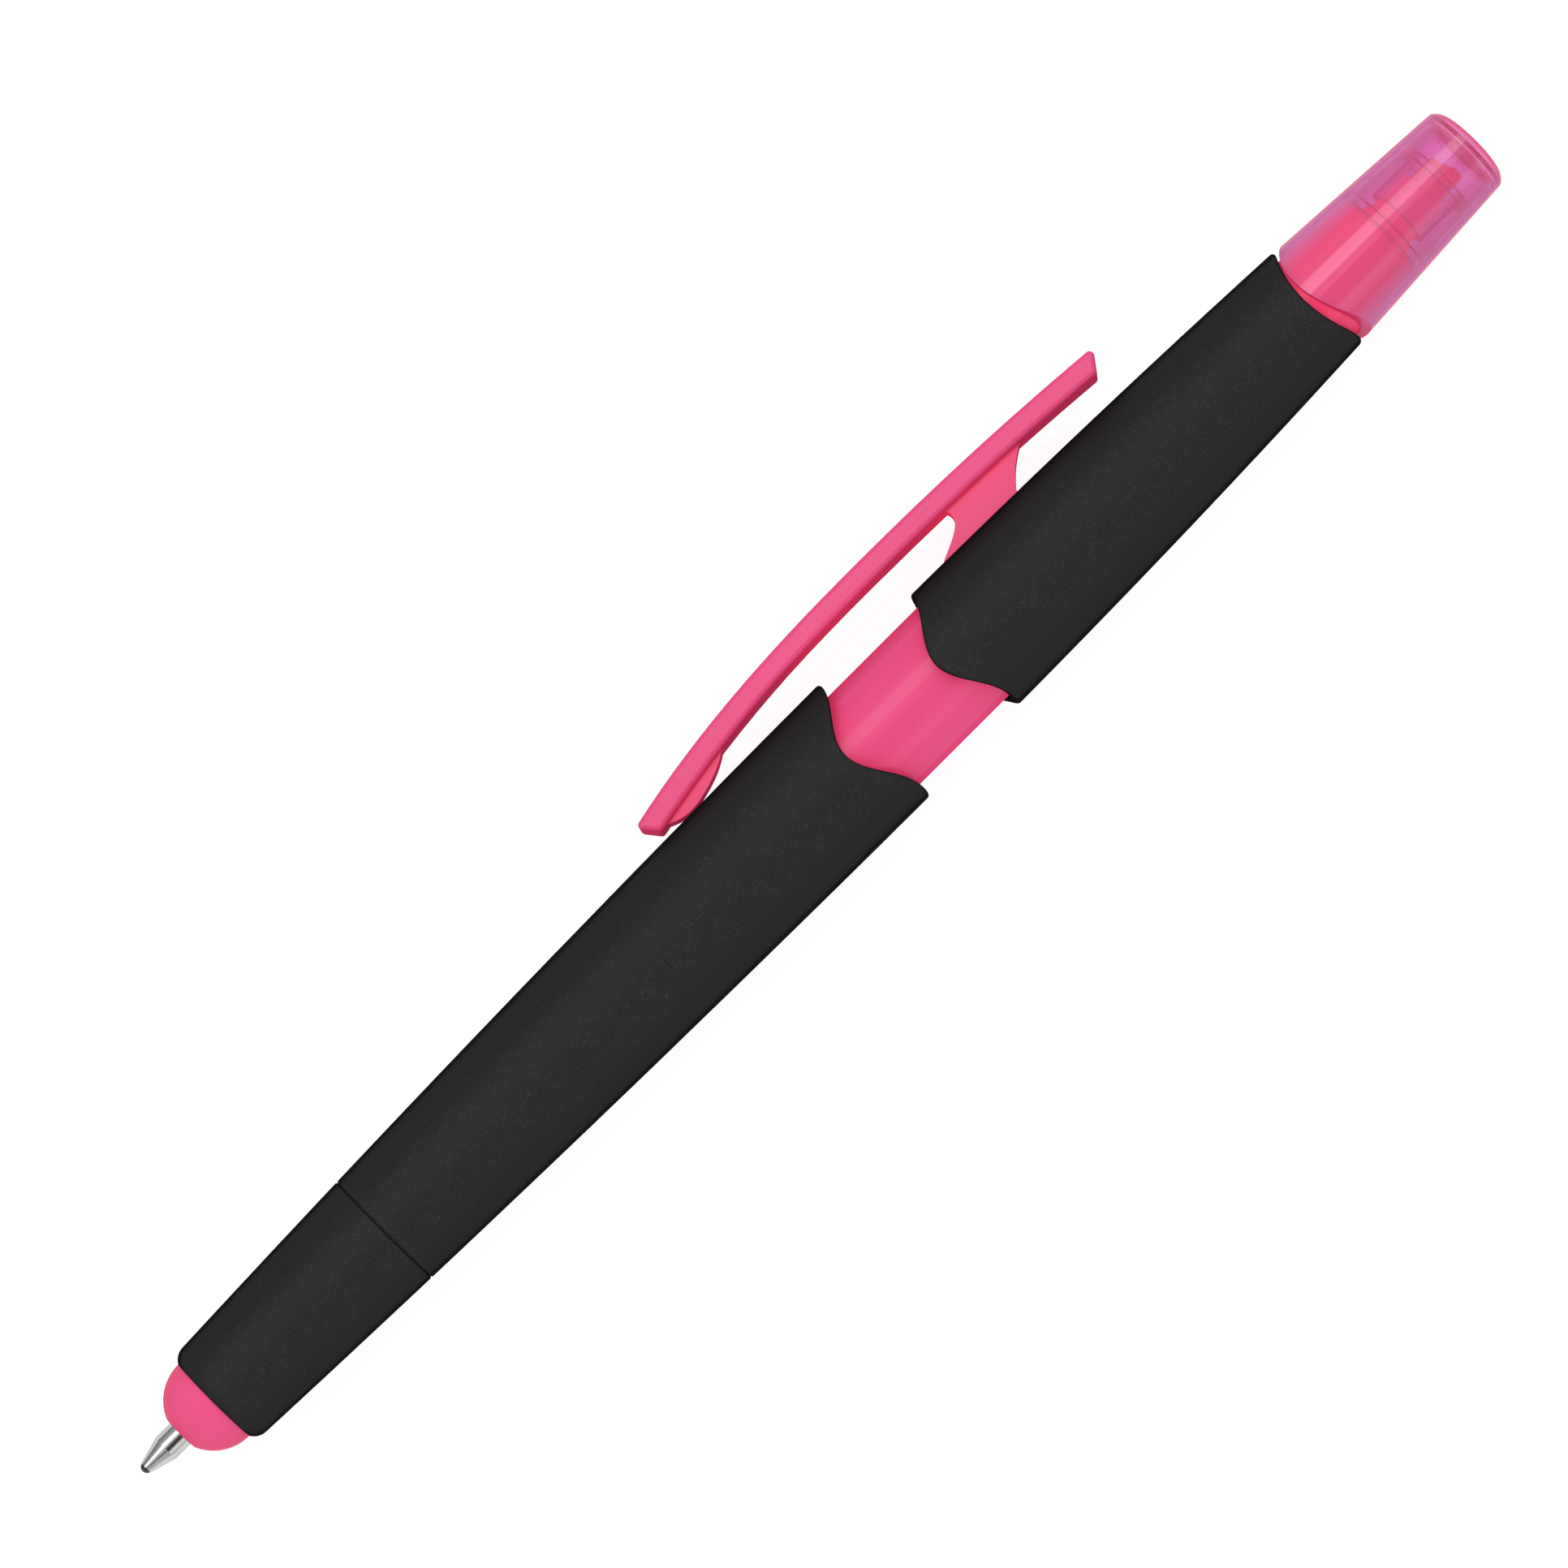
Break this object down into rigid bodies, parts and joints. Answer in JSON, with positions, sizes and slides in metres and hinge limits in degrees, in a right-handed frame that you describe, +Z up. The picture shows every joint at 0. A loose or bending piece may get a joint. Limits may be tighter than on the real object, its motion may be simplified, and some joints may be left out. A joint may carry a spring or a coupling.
{
  "type": "twist ballpoint with stylus dome and capped highlighter",
  "caption": "Twist-action pen: a ballpoint comes out through a rubber stylus dome, with a pocket clip and a highlighter under a clear cap.",
  "frame": {"origin": "on the pen's axis at the very front of the writing ball, with the ballpoint out", "axes": "+X along the pen from the ball to the cap's end, +Y towards the clip, +Z up when the pen lies on its side"},
  "size_m": [0.148, 0.0169, 0.0124],
  "materials": {
    "soft_touch_black": "soft-touch coat, very fine texture",
    "pink_plastic": "moulded, semi-gloss",
    "pink_rubber": "smooth silicone",
    "black_rubber": "moulded",
    "natural_plastic": "moulded, uncoloured",
    "clear_film": "thin clear film",
    "steel": "bright",
    "nickel_silver": "turned, nickel silver colour",
    "inked_fibre": "bonded fibre soaked in ink",
    "clear_pink": "polished, transparent tint"
  },
  "bodies": {
    "upper_half": {"centre_tube": "pink_plastic", "upper_sleeve": "soft_touch_black", "cam_tube": "natural_plastic", "friction_ring": "black_rubber", "highlighter_holder": "pink_plastic", "ink_reservoir": "inked_fibre", "reservoir_film": "clear_film", "reservoir_plug": "pink_plastic", "highlighter_nib": "inked_fibre"},
    "lower_half": {"lower_barrel": "soft_touch_black", "guide_tube": "natural_plastic", "retaining_ring": "natural_plastic"},
    "refill": {"refill_tube": "nickel_silver", "refill_point": "nickel_silver", "follower": "natural_plastic", "return_spring": "steel"},
    "writing_ball": {"writing_ball": "steel"},
    "nose_core": {"stylus_dome": "pink_rubber", "tip_guide": "natural_plastic"},
    "nose_shell": {"nose_cone": "soft_touch_black"},
    "clip": {"clip": "pink_plastic"},
    "cap": {"cap": "clear_pink", "cap_seal": "clear_pink"}
  },
  "joints": [
    {"name": "twist", "type": "hinge", "parent": "upper_half", "child": "lower_half", "pos_m": [0.07, 0, 0], "axis": [-1, 0, 0], "range_deg": [0, 180]},
    {"name": "refill_slide", "type": "slide", "parent": "lower_half", "child": "refill", "axis": [1, 0, 0], "range_m": [0, 0.0055], "deforming": ["return_spring"]},
    {"name": "ball_roll", "type": "hinge", "parent": "refill", "child": "writing_ball", "pos_m": [0.0005, 0, 0], "axis": [0, 1, 0], "continuous": true},
    {"name": "nose_advance", "type": "slide", "parent": "lower_half", "child": "nose_core", "axis": [-1, 0, 0], "range_m": [0, 0.004]},
    {"name": "nose_unscrew", "type": "hinge", "parent": "nose_core", "child": "nose_shell", "pos_m": [0.02, 0, 0], "axis": [-1, 0, 0], "range_deg": [0, 1440]},
    {"name": "clip_flex", "type": "hinge", "parent": "upper_half", "child": "clip", "pos_m": [0.099, 0.0043, 0], "axis": [0, 0, -1], "range_deg": [0, 4.5], "stiffness_Nm_per_rad": 0.05},
    {"name": "cap_pull", "type": "slide", "parent": "upper_half", "child": "cap", "axis": [1, 0, 0], "range_m": [0, 0.022]}
  ],
  "couplings": [
    {"joint": "twist", "follows": "refill_slide", "rad_per_m": 571.2},
    {"joint": "nose_unscrew", "follows": "nose_advance", "rad_per_m": 6283.2}
  ]
}
